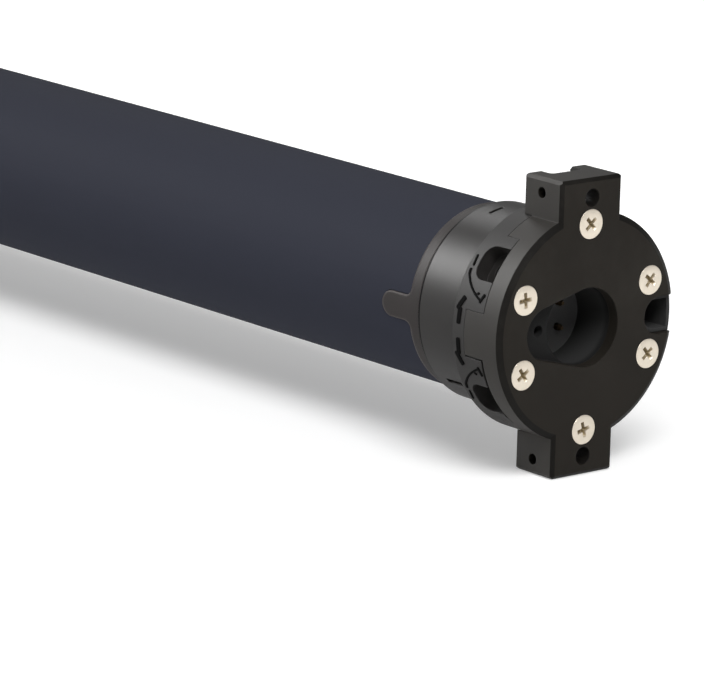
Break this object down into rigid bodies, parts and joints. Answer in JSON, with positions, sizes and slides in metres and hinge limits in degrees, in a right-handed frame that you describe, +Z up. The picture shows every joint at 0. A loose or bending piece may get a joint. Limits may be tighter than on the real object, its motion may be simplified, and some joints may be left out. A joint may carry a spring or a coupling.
{
  "type": "tubular roller blind motor",
  "caption": "Slim tubular motor for a roller blind: round lugged head with inlet recess, rotating crown, plain tube and a flatted output shaft.",
  "frame": {"origin": "centre of the head's front face, midway between the two bracket holes", "axes": "+X out of the head's face along the motor axis, +Z up through the upper mounting lug, the tube runs towards -X"},
  "size_m": [0.4723, 0.0544, 0.0704],
  "materials": {
    "cover_plastic": "satin moulded",
    "head_plastic": "satin moulded",
    "socket_plastic": "matte moulded",
    "crown_plastic": "semi gloss",
    "collar_plastic": "satin moulded",
    "screw_nickel": "nickel plated",
    "zinc_steel": "zinc plated",
    "bright_steel": "ground",
    "sintered_steel": "sintered",
    "lamination": "stacked sheet",
    "cast_alloy": "die cast",
    "tube_paint": "satin anthracite",
    "brass": "turned",
    "copper": "enamelled wire",
    "black_rubber": "matte",
    "friction_lining": "matte",
    "natural_nylon": "natural",
    "orange_nylon": "moulded",
    "switch_plastic": "moulded",
    "grey_plastic": "moulded",
    "circuit_board": "lacquered",
    "relay_case": "moulded",
    "tin_shield": "tinned",
    "yellow_tape": "taped",
    "white_case": "moulded",
    "lead_sleeve": "extruded"
  },
  "bodies": {
    "housing": {"front_cover": "cover_plastic", "cover_screws": "screw_nickel", "head_body": "head_plastic", "cable_socket": "socket_plastic", "socket_pins": "brass", "outlet_grommet": "black_rubber", "tube_collar": "collar_plastic", "collar_screws": "zinc_steel", "motor_tube": "tube_paint", "inlet_leads": "lead_sleeve", "limit_frame": "natural_nylon", "limit_switches": "switch_plastic", "board_carrier": "grey_plastic", "control_board": "circuit_board", "terminal_block": "circuit_board", "relays": "relay_case", "radio_module": "tin_shield", "board_transformer": "yellow_tape", "run_capacitor": "white_case", "capacitor_rings": "grey_plastic", "motor_leads": "lead_sleeve", "motor_front_shield": "cast_alloy", "stator_core": "lamination", "stator_winding": "copper", "rotor_bearings": "bright_steel", "motor_rear_shield": "cast_alloy", "brake_housing": "cast_alloy", "brake_magnet": "lamination", "brake_coil": "copper", "brake_spring": "bright_steel", "gearbox_plate": "cast_alloy", "gearbox_housing": "sintered_steel", "output_bush": "brass", "output_cap": "head_plastic", "tube_screws": "zinc_steel"},
    "rotor": {"rotor_core": "lamination", "rotor_shaft": "bright_steel", "brake_disc": "friction_lining"},
    "carrier_1": {"carrier_1": "sintered_steel"},
    "carrier_2": {"carrier_2": "sintered_steel"},
    "output": {"output_carrier": "bright_steel", "output_circlip": "zinc_steel"},
    "crown": {"crown_ring": "crown_plastic"},
    "pinion": {"limit_pinion": "natural_nylon"},
    "spindle_up": {"limit_spindle_up": "bright_steel"},
    "spindle_down": {"limit_spindle_down": "bright_steel"},
    "nut_up": {"limit_nut_up": "orange_nylon"},
    "nut_down": {"limit_nut_down": "orange_nylon"},
    "adjuster_up": {"limit_adjuster_up": "switch_plastic"},
    "adjuster_down": {"limit_adjuster_down": "switch_plastic"},
    "armature": {"brake_armature": "lamination"},
    "planet_1a": {"planet_1a": "sintered_steel"},
    "planet_1b": {"planet_1b": "sintered_steel"},
    "planet_1c": {"planet_1c": "sintered_steel"},
    "planet_2a": {"planet_2a": "sintered_steel"},
    "planet_2b": {"planet_2b": "sintered_steel"},
    "planet_2c": {"planet_2c": "sintered_steel"},
    "planet_3a": {"planet_3a": "sintered_steel"},
    "planet_3b": {"planet_3b": "sintered_steel"},
    "planet_3c": {"planet_3c": "sintered_steel"}
  },
  "joints": [
    {"name": "rotor_spin", "type": "hinge", "parent": "housing", "child": "rotor", "pos_m": [0, 0, 0], "axis": [1, 0, 0], "continuous": true},
    {"name": "carrier_1_spin", "type": "hinge", "parent": "housing", "child": "carrier_1", "pos_m": [0, 0, 0], "axis": [1, 0, 0], "continuous": true},
    {"name": "carrier_2_spin", "type": "hinge", "parent": "housing", "child": "carrier_2", "pos_m": [0, 0, 0], "axis": [1, 0, 0], "continuous": true},
    {"name": "output_spin", "type": "hinge", "parent": "housing", "child": "output", "pos_m": [0, 0, 0], "axis": [1, 0, 0], "continuous": true},
    {"name": "planet_1a_spin", "type": "hinge", "parent": "carrier_1", "child": "planet_1a", "pos_m": [0, 0.0108, 0], "axis": [1, 0, 0], "continuous": true},
    {"name": "planet_1b_spin", "type": "hinge", "parent": "carrier_1", "child": "planet_1b", "pos_m": [0, -0.0054, 0.00935], "axis": [1, 0, 0], "continuous": true},
    {"name": "planet_1c_spin", "type": "hinge", "parent": "carrier_1", "child": "planet_1c", "pos_m": [0, -0.0054, -0.00935], "axis": [1, 0, 0], "continuous": true},
    {"name": "planet_2a_spin", "type": "hinge", "parent": "carrier_2", "child": "planet_2a", "pos_m": [0, 0.0108, 0], "axis": [1, 0, 0], "continuous": true},
    {"name": "planet_2b_spin", "type": "hinge", "parent": "carrier_2", "child": "planet_2b", "pos_m": [0, -0.0054, 0.00935], "axis": [1, 0, 0], "continuous": true},
    {"name": "planet_2c_spin", "type": "hinge", "parent": "carrier_2", "child": "planet_2c", "pos_m": [0, -0.0054, -0.00935], "axis": [1, 0, 0], "continuous": true},
    {"name": "planet_3a_spin", "type": "hinge", "parent": "output", "child": "planet_3a", "pos_m": [0, 0.0108, 0], "axis": [1, 0, 0], "continuous": true},
    {"name": "planet_3b_spin", "type": "hinge", "parent": "output", "child": "planet_3b", "pos_m": [0, -0.0054, 0.00935], "axis": [1, 0, 0], "continuous": true},
    {"name": "planet_3c_spin", "type": "hinge", "parent": "output", "child": "planet_3c", "pos_m": [0, -0.0054, -0.00935], "axis": [1, 0, 0], "continuous": true},
    {"name": "crown_spin", "type": "hinge", "parent": "housing", "child": "crown", "pos_m": [0, 0, 0], "axis": [1, 0, 0], "range_deg": [-4230, 4230]},
    {"name": "pinion_spin", "type": "hinge", "parent": "housing", "child": "pinion", "pos_m": [0, 0.0135, 0], "axis": [1, 0, 0], "range_deg": [-16930, 16930]},
    {"name": "spindle_up_spin", "type": "hinge", "parent": "housing", "child": "spindle_up", "pos_m": [0, 0.00515, 0.0082], "axis": [1, 0, 0], "range_deg": [-10585, 10585]},
    {"name": "spindle_down_spin", "type": "hinge", "parent": "housing", "child": "spindle_down", "pos_m": [0, 0.00515, -0.0082], "axis": [1, 0, 0], "range_deg": [-10585, 10585]},
    {"name": "nut_up_travel", "type": "slide", "parent": "housing", "child": "nut_up", "axis": [1, 0, 0], "range_m": [-0.0147, 0.0147]},
    {"name": "nut_down_travel", "type": "slide", "parent": "housing", "child": "nut_down", "axis": [1, 0, 0], "range_m": [-0.0147, 0.0147]},
    {"name": "adjuster_up_turn", "type": "hinge", "parent": "housing", "child": "adjuster_up", "pos_m": [-0.0095, 0, 0], "axis": [0, -0.8049, 0.5934], "continuous": true},
    {"name": "adjuster_down_turn", "type": "hinge", "parent": "housing", "child": "adjuster_down", "pos_m": [-0.0095, 0, 0], "axis": [0, -0.8049, -0.5934], "continuous": true},
    {"name": "brake_release", "type": "slide", "parent": "housing", "child": "armature", "axis": [1, 0, 0], "range_m": [0, 0.0005], "stiffness_N_per_m": 2000, "springref_m": -0.003, "deforming": ["brake_spring"]}
  ],
  "couplings": [
    {"joint": "carrier_1_spin", "follows": "rotor_spin", "ratio": 0.16667},
    {"joint": "carrier_2_spin", "follows": "rotor_spin", "ratio": 0.027778},
    {"joint": "output_spin", "follows": "rotor_spin", "ratio": 0.0046296},
    {"joint": "planet_1a_spin", "follows": "rotor_spin", "ratio": -0.41667},
    {"joint": "planet_1b_spin", "follows": "rotor_spin", "ratio": -0.41667},
    {"joint": "planet_1c_spin", "follows": "rotor_spin", "ratio": -0.41667},
    {"joint": "planet_2a_spin", "follows": "rotor_spin", "ratio": -0.069444},
    {"joint": "planet_2b_spin", "follows": "rotor_spin", "ratio": -0.069444},
    {"joint": "planet_2c_spin", "follows": "rotor_spin", "ratio": -0.069444},
    {"joint": "planet_3a_spin", "follows": "rotor_spin", "ratio": -0.011574},
    {"joint": "planet_3b_spin", "follows": "rotor_spin", "ratio": -0.011574},
    {"joint": "planet_3c_spin", "follows": "rotor_spin", "ratio": -0.011574},
    {"joint": "pinion_spin", "follows": "crown_spin", "ratio": 4},
    {"joint": "spindle_up_spin", "follows": "crown_spin", "ratio": -2.5},
    {"joint": "spindle_down_spin", "follows": "crown_spin", "ratio": -2.5},
    {"joint": "nut_up_travel", "follows": "crown_spin", "m_per_rad": 0.00019894},
    {"joint": "nut_down_travel", "follows": "crown_spin", "m_per_rad": 0.00019894}
  ]
}
